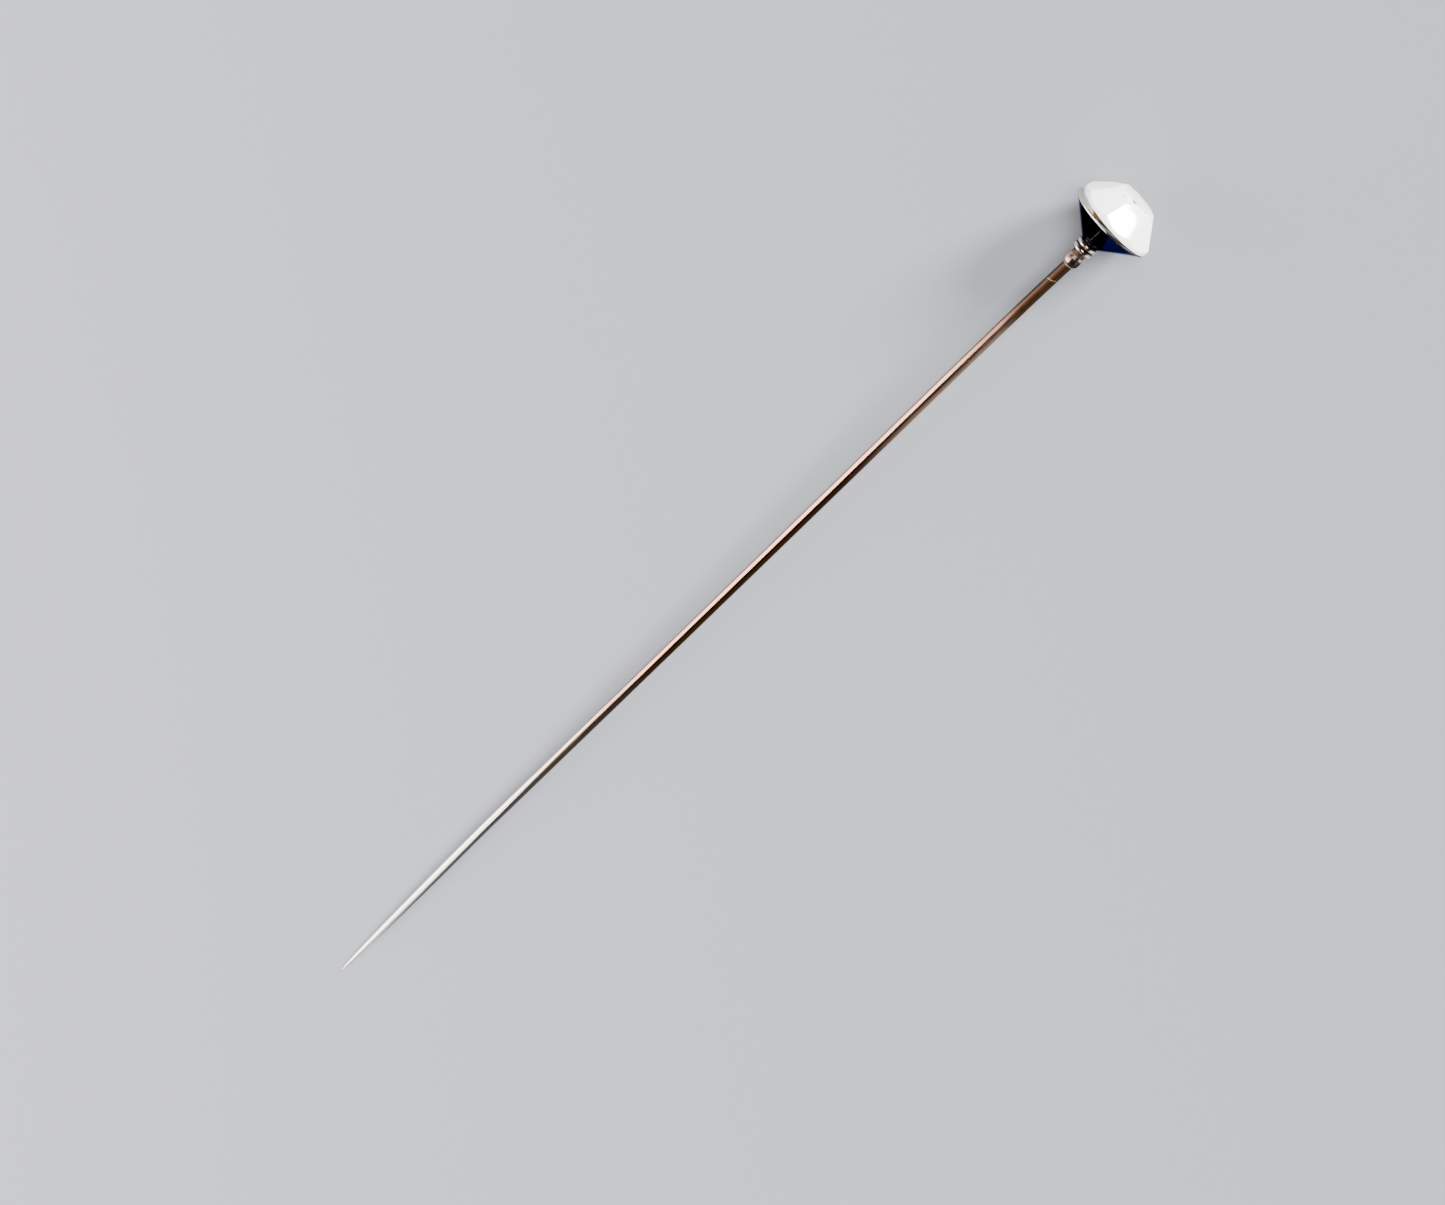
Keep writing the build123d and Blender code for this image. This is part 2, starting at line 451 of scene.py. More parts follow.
def wire_steel(nodes, drawn):
    """The bright steel near the point, with a painted shade line along its +Y side."""
    steel, soft_steel = (0.98, 0.975, 0.96), (0.88, 0.875, 0.86)
    shade = (0.13, 0.125, 0.11)
    lean = nodes.times(nodes.minus(nodes.x, 104.0), 0.021)
    # painted shade: a dark line along the +Y side, leaning with the point
    under = nodes.span(nodes.minus(nodes.y, lean), 0.18, 0.26)
    return nodes.blend(under, nodes.blend(drawn, steel, soft_steel), shade)


def shank_material():
    """Drawn steel wire: dull brown under the head, coppery further on, bright near the
    point, with fine lines along it from the drawing die."""
    pit_brown, nick_tan = (0.09, 0.055, 0.035), (0.50, 0.38, 0.29)
    nodes = Nodes("tarnished_steel")
    drawn = nodes.noise(7.0, 3.0, 0.6, (0.004, 1, 1))
    cloudy = nodes.noise(0.16, 3.0, 0.55, (1, 3, 3))
    shift = nodes.times(nodes.minus(cloudy, 0.5), 26)
    tarnish = nodes.below(nodes.plus(nodes.x, shift), 66.0, 108.0)
    wander = nodes.plus(nodes.x, nodes.times(shift, 0.3))
    dull = nodes.below(wander, 5.0, 20.0)
    brown = wire_tarnish(nodes, drawn, wander, dull)
    colour = nodes.blend(tarnish, wire_steel(nodes, drawn), brown)
    pits = nodes.times(nodes.span(nodes.noise(5.0, 3.0, 0.6), 0.68, 0.74), tarnish)
    colour = nodes.blend(nodes.times(pits, 0.6), colour, pit_brown)
    slant = nodes.plus(nodes.x, nodes.times(nodes.y, NICK_SLANT))
    upper = nodes.span(nodes.z, 0.15, 0.45)
    nick = nodes.times(nodes.band(slant, NICK_X, 0.0316, 0.0949), upper)
    colour = nodes.blend(nodes.times(nick, 0.45), colour, nick_tan)
    fine = nodes.noise(4.0, 4.0, 0.6, (0.15, 1, 1))
    normal = nodes.bump(drawn, 0.003)
    normal = nodes.bump(nodes.noise(8.0, 3.0, 0.6), 0.0015, normal)
    return nodes.finish(
        Base_Colour=colour,
        Metallic=1.0,
        Roughness=nodes.gloss(fine, 0.14, 0.24, (dull, 0.20), (pits, 0.25)),
        Normal=nodes.bump(pits, -0.004, normal),
        Specular_Tint=(0.50, 0.46, 0.43, 1.0),
    )


def neck_material():
    """Nickel silver gone dark: brown in the grooves, coppery on the barrel, and rubbed
    brighter on the crests of the rings. Painted shade darkens a band across the middle and
    the barrel's far side; painted highlights tint the ring crests rose towards -Y and cool
    towards +Y, and light the barrel's shoulder towards +Y."""
    silver, dull_silver = (0.34, 0.29, 0.265), (0.19, 0.155, 0.140)
    rubbed_and_reflected, rose, cool = (0.46, 0.415, 0.385), (0.90, 0.80, 0.74), (0.80, 0.84, 0.80)
    copper, painted_glint = (0.60, 0.435, 0.365), (0.88, 0.92, 0.87)
    middle_shade_brown, shade = (0.115, 0.080, 0.066), (0.022, 0.015, 0.011)
    groove_brown = (0.085, 0.048, 0.030)
    nodes = Nodes("neck_nickel_silver")
    x, y = nodes.x, nodes.y
    radius = nodes.radius()
    mottle = nodes.noise(2.2, 4.0, 0.6)
    broken = nodes.span(mottle, 0.25, 0.65, 0.45, 1.0)
    metal = nodes.blend(mottle, silver, dull_silver)
    crest = nodes.span(radius, RING_RADIUS - 0.10, RING_RADIUS)
    metal = nodes.blend(nodes.times(crest, broken), metal, rubbed_and_reflected)
    # painted shade: a darker brownish band across the middle, broken by the mottle
    painted_middle_shade = nodes.band(y, 0.10, 0.316, 0.671)
    painted_middle_shade = nodes.times(painted_middle_shade, nodes.span(mottle, 0.30, 0.50, 0.35, 0.9))
    metal = nodes.blend(painted_middle_shade, metal, middle_shade_brown)
    # painted highlights on the ring crests: rose towards -Y, cool towards +Y
    near_side = nodes.below(y, -0.60, -0.20)
    metal = nodes.blend(nodes.times(near_side, crest), metal, rose)
    ring_end = nodes.span(y, 0.45, 0.75)
    metal = nodes.blend(nodes.times(ring_end, crest), metal, cool)
    barrel = nodes.span(x, -1.75, -1.30)
    metal = nodes.blend(nodes.times(barrel, broken), metal, copper)
    # painted shade: the barrel goes near-black towards +Y
    shaded_side = nodes.span(nodes.plus(y, nodes.times(mottle, 0.5)), 0.04, 0.22)
    metal = nodes.blend(nodes.times(barrel, shaded_side, 0.95), metal, shade)
    # a painted glint on the barrel's shoulder towards +Y
    shoulder = nodes.times(nodes.below(x, -1.28, -1.06), barrel)
    shoulder = nodes.times(shoulder, nodes.span(y, 0.35, 0.60), 0.9)
    metal = nodes.blend(shoulder, metal, painted_glint)
    groove = nodes.times(nodes.below(radius, 0.95, 1.13), nodes.below(x, -1.48, -1.26))
    dark_fill = nodes.times(groove, nodes.span(mottle, 0.2, 0.6, 0.7, 1.0))
    lines = nodes.scratches(14.0, (1, 0.05, 1), (0.4, 0.3, 0.5))
    normal = nodes.bump(nodes.noise(4.0, 3.0, 0.55), 0.0015)
    return nodes.finish(
        Base_Colour=nodes.blend(dark_fill, metal, groove_brown),
        Metallic=1.0,
        Roughness=nodes.gloss(
            mottle, 0.10, 0.20, (lines, 0.10), (dark_fill, 0.25), (barrel, 0.14)
        ),
        Normal=nodes.bump(lines, -0.0008, normal),
        Specular_Tint=(0.50, 0.45, 0.42, 1.0),
    )


def solder_material():
    """Dull soft solder, slightly lumpy, and browner under the cup."""
    grey, dark_grey = (0.52, 0.51, 0.49), (0.26, 0.24, 0.22)
    under_cup_brown = (0.055, 0.038, 0.028)
    nodes = Nodes("soft_solder")
    mottle = nodes.noise(6.0, 4.0, 0.65)
    colour = nodes.blend(mottle, grey, dark_grey)
    # browner towards the cup
    under_cup = nodes.times(nodes.below(nodes.x, -2.6, -2.0), 0.9)
    return nodes.finish(
        Base_Colour=nodes.blend(under_cup, colour, under_cup_brown),
        Metallic=1.0,
        Roughness=nodes.gloss(mottle, 0.28, 0.5),
        Normal=nodes.bump(mottle, 0.02),
    )


def cup_reflection_streak(nodes, cloudy):
    """The thin grey streak up the middle of the cup's upper side, broken in places: a
    painted reflection of the neck and shank, made rougher.
    """
    wander = nodes.plus(nodes.y, nodes.times(cloudy, 0.12))
    streak = nodes.band(wander, -0.10, 0.0224, 0.0949)
    return nodes.times(
        streak,
        nodes.span(nodes.z, 1.4, 2.4, 0.25, 1.0),
        nodes.span(nodes.z, 1.15, 1.45),
        nodes.below(nodes.z, 3.9, 4.35),
        nodes.span(nodes.noise(5.0, 4.0, 0.7, (0.4, 1.6, 0.4)), 0.36, 0.56),
    )


def cup_material():
    """Blue-black finish on spun metal: glossy, with a painted navy reflection on its +Y
    side and a painted grey reflection streak up its upper side, greyer in patches at its
    foot, and rubbed through in specks at the edges."""
    black, soft_black = (0.004, 0.0045, 0.009), (0.007, 0.008, 0.015)
    navy, soft_navy = (0.012, 0.018, 0.075), (0.016, 0.024, 0.095)
    scratched, rubbed_and_reflected = (0.030, 0.032, 0.045), (0.115, 0.110, 0.110)
    foot_grey, bare_metal = (0.105, 0.096, 0.090), (0.34, 0.33, 0.32)
    nodes = Nodes("black_finish")
    back = nodes.back
    cloudy = nodes.noise(0.9, 4.0, 0.6)
    dark = nodes.blend(cloudy, black, soft_black)
    # painted reflection: navy on the +Y side, past a sharp slanting line
    navy_reflection = nodes.blend(cloudy, navy, soft_navy)
    border = nodes.times(nodes.minus(MOUTH_BACK, back), 0.23)
    past = nodes.minus(nodes.y, border, 0.8)
    finish = nodes.blend(nodes.span(past, -0.05, 0.10), dark, navy_reflection)
    lines = nodes.scratches(12.0, (1, 0.04, 1), (0.5, 0.2, 0.9))
    hair = nodes.scratches(18.0, (1, 0.03, 1), (1.1, 0.7, -0.5))
    wear = nodes.most(lines, nodes.times(hair, 0.6))
    colour = nodes.blend(nodes.times(wear, 0.5), finish, scratched)
    # painted reflection: the grey streak of the neck and shank up the cup
    reflection_streak = cup_reflection_streak(nodes, cloudy)
    colour = nodes.blend(reflection_streak, colour, rubbed_and_reflected)
    # greyer in patches near the foot
    foot_patches = nodes.span(nodes.noise(2.6, 4.0, 0.65), 0.40, 0.60)
    foot_patches = nodes.times(foot_patches, nodes.below(back, CUP_BACK + 0.35, CUP_BACK + 0.95), 0.9)
    colour = nodes.blend(foot_patches, colour, foot_grey)
    lip = nodes.span(back, MOUTH_BACK - 0.35, MOUTH_BACK)
    foot = nodes.below(back, CUP_BACK + 0.05, CUP_BACK + 0.55)
    specks = nodes.span(nodes.noise(5.5, 4.0, 0.7), 0.63, 0.67)
    specks = nodes.times(specks, nodes.most(lip, foot))
    normal = nodes.bump(nodes.noise(1.4, 2.0, 0.5), 0.006)
    normal = nodes.bump(wear, -0.0015, normal)
    return nodes.finish(
        Base_Colour=nodes.blend(specks, colour, bare_metal),
        Metallic=1.0,
        Roughness=nodes.gloss(
            cloudy, 0.05, 0.12, (reflection_streak, 0.35), (wear, 0.18), (specks, 0.3)
        ),
        Normal=nodes.bump(specks, -0.006, normal),
        Specular_Tint=(0.23, 0.26, 0.36, 1.0),
    )


def bead_colour(nodes, mottle, side):
    """The bezel's metal: bright, greyer towards -Y where the collar shows, with painted
    shade that is dark towards +Y but for the bead's crest, and a painted shadow from brown
    to near-black on the half next to the collar."""
    silver, soft_silver = (0.98, 0.95, 0.88), (0.90, 0.86, 0.78)
    grey, soft_grey = (0.76, 0.76, 0.72), (0.58, 0.58, 0.55)
    brown, deep_shade = (0.16, 0.080, 0.035), (0.020, 0.016, 0.013)
    dark, dark_crest = (0.022, 0.019, 0.017), (0.21, 0.205, 0.185)
    bright = nodes.blend(mottle, silver, soft_silver)
    # greyer towards -Y, where the collar shows
    grey_tone = nodes.blend(mottle, grey, soft_grey)
    collar_side = nodes.times(nodes.below(nodes.y, -3.6, -2.2), 0.75)
    colour = nodes.blend(collar_side, bright, grey_tone)
    # painted shadow in the slot on the half next to the collar: brown, then near-black
    # towards +Y
    inner = nodes.span(nodes.back, MOUTH_BACK + 0.21, MOUTH_BACK + 0.30)
    inner = nodes.times(inner, nodes.span(side, -2.2, -1.6))
    shade = nodes.blend(nodes.span(side, -1.5, -0.8), brown, deep_shade)
    colour = nodes.blend(inner, colour, shade)
    # painted shade towards +Y, a little lighter on the bead's crest
    crest = nodes.band(nodes.back, MOUTH_BACK + 0.19, 0.0346, 0.0775)
    shaded_side = nodes.blend(crest, dark, dark_crest)
    return nodes.blend(nodes.span(side, 0.0, 0.6), colour, shaded_side)


def bezel_material():
    """Turned metal, with old cement in the step between bead and collar, darkened by
    painted shade to near-black towards +Y.
    """
    old_cement, dark_cement = (0.140, 0.068, 0.028), (0.075, 0.034, 0.013)
    deep_shade = (0.007, 0.006, 0.005)
    nodes = Nodes("bezel_nickel_silver")
    mottle = nodes.noise(1.6, 4.0, 0.6)
    side = nodes.plus(nodes.y, nodes.times(nodes.minus(mottle, 0.5), 0.8))
    colour = bead_colour(nodes, mottle, side)
    step = nodes.span(nodes.back, MOUTH_BACK + 0.30, MOUTH_BACK + 0.40)
    inside = nodes.below(nodes.radius(), COLLAR_RADIUS + 0.08, COLLAR_RADIUS + 0.20)
    kept = nodes.span(side, -2.5, -1.8, 0.08, 1.0)
    grime = nodes.times(step, inside, kept)
    patchy = nodes.span(nodes.noise(1.3, 4.0, 0.65), 0.30, 0.55)
    dark_fill = nodes.blend(patchy, old_cement, dark_cement)
    # painted shade: the cement in the slot goes near-black towards +Y
    dark_fill = nodes.blend(nodes.span(side, -1.3, -0.7), dark_fill, deep_shade)
    turned = nodes.noise(16.0, 2.0, 0.5, (1, 0.02, 0.02))
    normal = nodes.bump(turned, 0.004)
    return nodes.finish(
        Base_Colour=nodes.blend(grime, colour, dark_fill),
        Metallic=nodes.minus(1.0, nodes.times(grime, 0.9)),
        Roughness=nodes.gloss(turned, 0.16, 0.34, (grime, 0.35)),
        Normal=nodes.bump(nodes.noise(3.0, 3.0, 0.6), 0.006, normal),
        Specular_Tint=(0.60, 0.58, 0.55, 1.0),
    )


def stone_material():
    """Milky white pressed glass: polished facets, with faint clouds and fine wear, and a
    darker colour in the chips."""
    white, soft_white = (0.95, 0.95, 0.93), (0.88, 0.885, 0.88)
    grain, dark_fill = (0.55, 0.55, 0.50), (0.050, 0.050, 0.040)
    nodes = Nodes("white_glass")
    clouds = nodes.noise(0.55, 5.0, 0.6)
    milk = nodes.blend(clouds, white, soft_white)
    grains = nodes.span(nodes.noise(7.0, 3.0, 0.6), 0.70, 0.76)
    colour = nodes.blend(nodes.times(grains, 0.35), milk, grain)
    bites = []
    for turn, radius, height, size in CHIPS:
        centre = chip_centre(turn, radius, height, size)
        bites.append(nodes.near(centre, 1.15 * size, 1.45 * size))
    # a darker colour in and around the chips, rougher there
    darker_chips = nodes.span(nodes.noise(9.0, 3.0, 0.6), 0.30, 0.55, 0.65, 1.0)
    darker_chips = nodes.times(darker_chips, nodes.most(*bites))
    lines = nodes.scratches(9.0, (1, 0.04, 1), (0.9, 1.2, 0.3))
    normal = nodes.bump(nodes.noise(0.8, 2.0, 0.5), 0.006)
    return nodes.finish(
        Base_Colour=nodes.blend(darker_chips, colour, dark_fill),
        Roughness=nodes.gloss(clouds, 0.05, 0.11, (lines, 0.10), (darker_chips, 0.4)),
        Normal=nodes.bump(nodes.noise(5.0, 3.0, 0.6), 0.0012, normal),
        IOR=1.58,
        Subsurface_Weight=0.15,
        Subsurface_Radius=(1.0, 0.95, 0.85),
        Subsurface_Scale=0.0008,
    )


def washer_material():
    """Plain brass, dulled by the soldering."""
    brass, dark_brass = (0.66, 0.49, 0.22), (0.40, 0.27, 0.12)
    nodes = Nodes("dull_brass")
    mottle = nodes.noise(3.0, 4.0, 0.6)
    return nodes.finish(
        Base_Colour=nodes.blend(mottle, brass, dark_brass),
        Metallic=1.0,
        Roughness=nodes.gloss(mottle, 0.25, 0.5),
        Normal=nodes.bump(mottle, 0.01),
    )


def cement_material():
    """Brown shellac cement with small bubbles."""
    shellac, dark_shellac = (0.20, 0.115, 0.055), (0.085, 0.045, 0.022)
    nodes = Nodes("brown_cement")
    mottle = nodes.noise(1.5, 5.0, 0.6)
    bubbles = nodes.span(nodes.cracks(2.5), 0.0, 0.12)
    return nodes.finish(
        Base_Colour=nodes.blend(mottle, shellac, dark_shellac),
        Roughness=nodes.gloss(mottle, 0.35, 0.6),
        Normal=nodes.bump(bubbles, 0.02, nodes.bump(mottle, 0.03)),
    )


def foil_material():
    """Bright foil, creased where it was pressed."""
    tin, soft_tin = (0.90, 0.90, 0.88), (0.78, 0.78, 0.77)
    nodes = Nodes("bright_foil")
    mottle = nodes.noise(2.0, 4.0, 0.6)
    creases = nodes.span(nodes.cracks(0.8), 0.0, 0.06)
    return nodes.finish(
        Base_Colour=nodes.blend(mottle, tin, soft_tin),
        Metallic=1.0,
        Roughness=nodes.gloss(mottle, 0.08, 0.2),
        Normal=nodes.bump(creases, 0.02),
    )


# ---------------------------------------------------------------- the shank

def shank_shape(place):
    """The wire's small faults: drawing marks, a nick, a slow bow under the head, and a
    point that leans to the other side."""
    x = place.x
    if x <= 0:
        return place
    amount = ripple(Vector((x / 6, place.y * 2, place.z * 2)), 1.0, 0.006, 1)
    amount += ripple(place, 0.35, 0.0025, 2)
    nick = math.exp(-(((x + NICK_SLANT * place.y - NICK_X) / 0.08) ** 2))
    amount -= 0.020 * nick * max(0.0, place.z / SHANK_RADIUS)
    radius = math.hypot(place.y, place.z)
    place = swell(place, amount * min(1.0, radius / SHANK_RADIUS))
    past = max(0.0, (x - DRIFT_X) / (TIP_X - DRIFT_X))
    bow = SHANK_BOW * x / BOW_X * math.exp(1 - x / BOW_X)
    place.y += POINT_DRIFT * past**1.15 - bow
    place.z += SHANK_RISE * math.sin(math.pi * x / TIP_X)
    return place


def build_shank(material):
    """The wire from the rivet head in the washer to the point, one fine lathe mesh."""
    taper = TIP_X - POINT_LENGTH
    rivet_crown, rivet_crown_radius = 0.08, 0.42
    rivet_foot = RIVET_BACK - RIVET_HEIGHT
    fine_end, fine_steps, coarse_steps, point_steps = 4.0, 110, 560, 150
    profile = [(RIVET_BACK, 0.0), (RIVET_BACK - rivet_crown, rivet_crown_radius)]
    profile += [(rivet_foot, RIVET_RADIUS), (rivet_foot - 0.005, TANG_RADIUS)]
    profile += [(FIT, TANG_RADIUS), (0.0, SHANK_RADIUS - FIT)]
    for index in range(1, fine_steps + 1):
        profile.append((-fine_end * index / fine_steps, SHANK_RADIUS))
    for index in range(1, coarse_steps + 1):
        along = fine_end + (taper - fine_end) * index / coarse_steps
        profile.append((-along, SHANK_RADIUS))
    for index in range(1, point_steps):
        turn = math.pi / 2 * index / point_steps
        along = taper + POINT_LENGTH * math.sin(turn)
        profile.append((-along, SHANK_RADIUS * math.cos(turn)))
    profile.append((-TIP_X, 0.0))
    mesh = lathe(profile, 48, closed=False, shape=shank_shape)
    return finish_piece("shank_wire", mesh, material, "shank", 40)


# ---------------------------------------------------------------- the neck

def sleeve_profile():
    """The barrel with its rounded mouth and shoulder, the waist, and the tube under
    the rings."""
    barrel_start, barrel_end, barrel_steps = 0.40, 1.06, 16
    crown = 0.025
    lip = [(0.08, 0.765), (0.13, 0.825), (0.18, 0.868)]
    shoulder = [(1.13, 0.880), (1.20, 0.848), (1.26, 0.808), (1.31, 0.780), (1.37, 0.765)]
    waist_start, waist_end = 1.44, 1.84
    profile = [(SLEEVE_MOUTH, TUBE_BORE)]
    profile += arc(SLEEVE_MOUTH + 0.05, SLEEVE_MOUTH_RADIUS - 0.05, 0.05, 180, 125, 4)
    profile += [(SLEEVE_MOUTH + back, radius) for back, radius in lip]
    for index in range(barrel_steps + 1):
        share = 2 * index / barrel_steps - 1
        back = barrel_start + (barrel_end - barrel_start) * index / barrel_steps
        profile.append((back, SLEEVE_RADIUS - crown * share**2))
    profile += shoulder
    profile += [(back, TUBE_RADIUS) for back in (waist_start, waist_end, SLEEVE_END)]
    profile += [(SLEEVE_END, TUBE_BORE)]
    return profile


def build_sleeve(material):
    """The barrel-shaped ferrule and its tube."""
    mesh = lathe(sleeve_profile(), 96, shape=uneven((0.9, 0.005, 3)))
    return finish_piece("neck_ferrule", mesh, material, "neck_sleeve", 40)


def build_ring(name, node, ends, seed, material):
    """A neck ring: a nearly half-round rim, slightly flattened where it was handled."""
    near, far = ends
    inner = TUBE_RADIUS + FIT
    edge = 0.48 * (far - near)
    profile = [(near, inner), (near, RING_RADIUS - edge)]
    profile += arc(near + edge, RING_RADIUS - edge, edge, 180, 90, 12)[1:]
    profile += arc(far - edge, RING_RADIUS - edge, edge, 90, 0, 12)
    profile += [(far, inner)]
    ripples = (1.1, 0.016, seed), (0.35, 0.005, seed + 1)
    shape = uneven(*ripples, less=0.008, inner=inner, fade=0.2)
    mesh = lathe(profile, 112, shape=shape)
    return finish_piece(name, mesh, material, node, 40)


def build_shank_solder(material):
    """The solder cone at the sleeve's mouth, with a soft uneven outline."""
    inner, steps = 0.44, 8
    rise = SLEEVE_MOUTH_RADIUS - 0.02 - SHANK_RADIUS
    profile = [(FIT, inner), (FIT, SHANK_RADIUS - 0.005)]
    for index in range(1, steps + 1):
        share = index / steps
        back = FIT + (SLEEVE_MOUTH - 2 * FIT) * share
        profile.append((back, SHANK_RADIUS + rise * share**1.7))
    profile.append((SLEEVE_MOUTH - FIT, inner))
    mesh = lathe(profile, 64, shape=uneven((0.3, 0.014, 9)))
    return finish_piece("shank_solder_fillet", mesh, material, "shank_solder")


def build_neck_solder(material):
    """The solder seam between the upper ring and the cup."""
    start = UPPER_RING[1] + FIT
    end = CUP_BACK - FIT
    profile = [
        (start, TUBE_RADIUS + FIT),
        (start, CUP_SMALL_RADIUS - 0.17),
        ((start + end) / 2, CUP_SMALL_RADIUS - 0.13),
        (end, CUP_SMALL_RADIUS - 0.05),
        (end, TUBE_RADIUS + FIT),
    ]
    mesh = lathe(profile, 72, shape=uneven((0.35, 0.02, 11)))
    return finish_piece("neck_solder_seam", mesh, material, "neck_solder")


# ---------------------------------------------------------------- cup and bezel

def build_cup(material):
    """The conical cup with softened edges and a spun surface that is barely uneven."""
    slope = (CUP_MOUTH_RADIUS - CUP_SMALL_RADIUS) / (MOUTH_BACK - CUP_BACK)
    wall = CUP_WALL * math.hypot(1, slope)
    floor = CUP_BACK + CUP_FLOOR
    foot = (CUP_BACK + 0.06, CUP_SMALL_RADIUS + 0.06 * slope)
    lip = (MOUTH_BACK - 0.04, CUP_MOUTH_RADIUS - 0.04 * slope)
    profile = [(CUP_BACK, CUP_BORE), (CUP_BACK, CUP_SMALL_RADIUS - 0.06)]
    profile += [(CUP_BACK + 0.012, CUP_SMALL_RADIUS - 0.015)]
    profile += straight(foot, lip, 40)
    profile += [lip, (MOUTH_BACK - 0.01, CUP_MOUTH_RADIUS - 0.02)]
    profile += [(MOUTH_BACK, CUP_MOUTH_RADIUS - 0.04)]
    profile += [(MOUTH_BACK, CUP_MOUTH_RADIUS - wall)]
    profile += [(floor, CUP_SMALL_RADIUS + slope * CUP_FLOOR - wall), (floor, CUP_BORE)]
    shape = uneven((2.2, 0.012, 21), less=0.006, inner=0.5, fade=1.0)
    mesh = lathe(profile, 160, shape=shape)
    return finish_piece("cup_shell", mesh, material, "back_cup", 30)


def seat_plane(gap):
    """A point and the normal, towards the stone, of the plane a gap under the seat."""
    point = SEAT @ Vector((gap, 0, 0))
    normal = SEAT.to_3x3() @ Vector((-1, 0, 0))
    return point * MM, normal


def cut_away(mesh, point, normal):
    """Removes what lies beyond a plane. Returns the edges of the opening it leaves."""
    cut = bmesh.ops.bisect_plane(
        mesh,
        geom=mesh.verts[:] + mesh.edges[:] + mesh.faces[:],
        dist=1e-9,
        plane_co=point,
        plane_no=normal,
        clear_outer=True,
    )
    return [
        item
        for item in cut["geom_cut"]
        if isinstance(item, bmesh.types.BMEdge) and item.is_boundary
    ]


def build_bezel(material):
    """The bezel: a round bead, and a grooved collar that is dressed off to the stone's
    seat."""
    near_round, far_round = 0.15, 0.13
    groove_pitch, groove_depth, groove_points = 0.17, 0.022, 48
    near = MOUTH_BACK + FIT
    step = MOUTH_BACK + BEAD_WIDTH
    top = MOUTH_BACK + 2 * SEAT_HEIGHT
    profile = [(near, BEZEL_BORE), (near, BEAD_RADIUS - near_round)]
    profile += arc(near + near_round, BEAD_RADIUS - near_round, near_round, 180, 90)[1:]
    profile += arc(step - far_round, BEAD_RADIUS - far_round, far_round, 90, 0)
    profile += [(step, COLLAR_RADIUS + 0.03), (step + 0.015, COLLAR_RADIUS)]
    for index in range(1, groove_points):
        back = step + 0.02 + (top - step - 0.02) * index / groove_points
        wave = 0.5 - 0.5 * math.cos(2 * math.pi * (back - step) / groove_pitch)
        profile.append((back, COLLAR_RADIUS - groove_depth * wave**2))
    profile += [(top, COLLAR_RADIUS), (top, BEZEL_BORE)]
    ripples = (1.6, 0.014, 31), (0.4, 0.004, 32)
    shape = uneven(*ripples, less=0.009, inner=BEZEL_BORE, fade=0.3)
    mesh = lathe(profile, 224, shape=shape)
    edges = cut_away(mesh, *seat_plane(FIT))
    bmesh.ops.bridge_loops(mesh, edges=edges)
    bmesh.ops.recalc_face_normals(mesh, faces=mesh.faces)
    return finish_piece("bezel_ring", mesh, material, "bezel", 40)


# ---------------------------------------------------------------- the stone

def facet_plane(turn, slope, radius, height):
    """A point and the outward normal of one crown facet, in the CAD frame."""
    spoke = Vector((0, math.cos(turn), math.sin(turn)))
    up = Vector((-1, 0, 0))
    point = SEAT @ (spoke * radius + up * height)
    normal = SEAT.to_3x3() @ (spoke * math.sin(slope) + up * math.cos(slope))
    return point * MM, normal


def stone_blank():
    """The round blank before the facets are cut."""
    profile = [(-PAVILION_DEPTH, 0.0), (-PAVILION_DEPTH, PAVILION_BACK_RADIUS)]
    profile += [(0, PAVILION_RADIUS), (0, GIRDLE_RADIUS)]
    profile += [(TABLE_HEIGHT, GIRDLE_RADIUS), (TABLE_HEIGHT, 0.0)]
    mesh = lathe(profile, 128, closed=False)
    to_metres = Matrix.Scale(MM, 4)
    to_mm = Matrix.Scale(1 / MM, 4)
    bmesh.ops.transform(mesh, matrix=to_metres @ SEAT @ to_mm, verts=mesh.verts)
    return mesh


def cut_facets(mesh):
    """Cuts the crown's facets one by one and closes each with one flat face."""
    for count, first_turn, slope, radius, height in CROWN_TIERS:
        for index in range(count):
            turn = math.radians(first_turn + 360 * index / count)
            edges = cut_away(mesh, *facet_plane(turn, math.radians(slope), radius, height))
            bmesh.ops.edgeloop_fill(mesh, edges=edges)
    bmesh.ops.dissolve_limit(
        mesh, angle_limit=math.radians(0.5), verts=mesh.verts, edges=mesh.edges
    )


def rub_edges(mesh):
    """Rounds the edges between the facets a little."""
    sharp = [edge for edge in mesh.edges if edge.calc_face_angle(0) > math.radians(4)]
    bmesh.ops.bevel(
        mesh,
        geom=sharp,
        offset=EDGE_WEAR * MM,
        segments=2,
        profile=0.6,
        affect="EDGES",
        clamp_overlap=True,
    )


def chip_tools():
    """The rough little balls whose bite leaves the chips."""
    tools = bmesh.new()
    for turn, radius, height, size in CHIPS:
        centre = chip_centre(turn, radius, height, size)
        ball = bmesh.ops.create_icosphere(
            tools, subdivisions=2, radius=size * MM, matrix=Matrix.Translation(centre * MM)
        )
        for vertex in ball["verts"]:
            away = vertex.co - centre * MM
            vertex.co = centre * MM + away * (1 + ripple(vertex.co / MM, 0.09, 0.35, turn))
    return tools


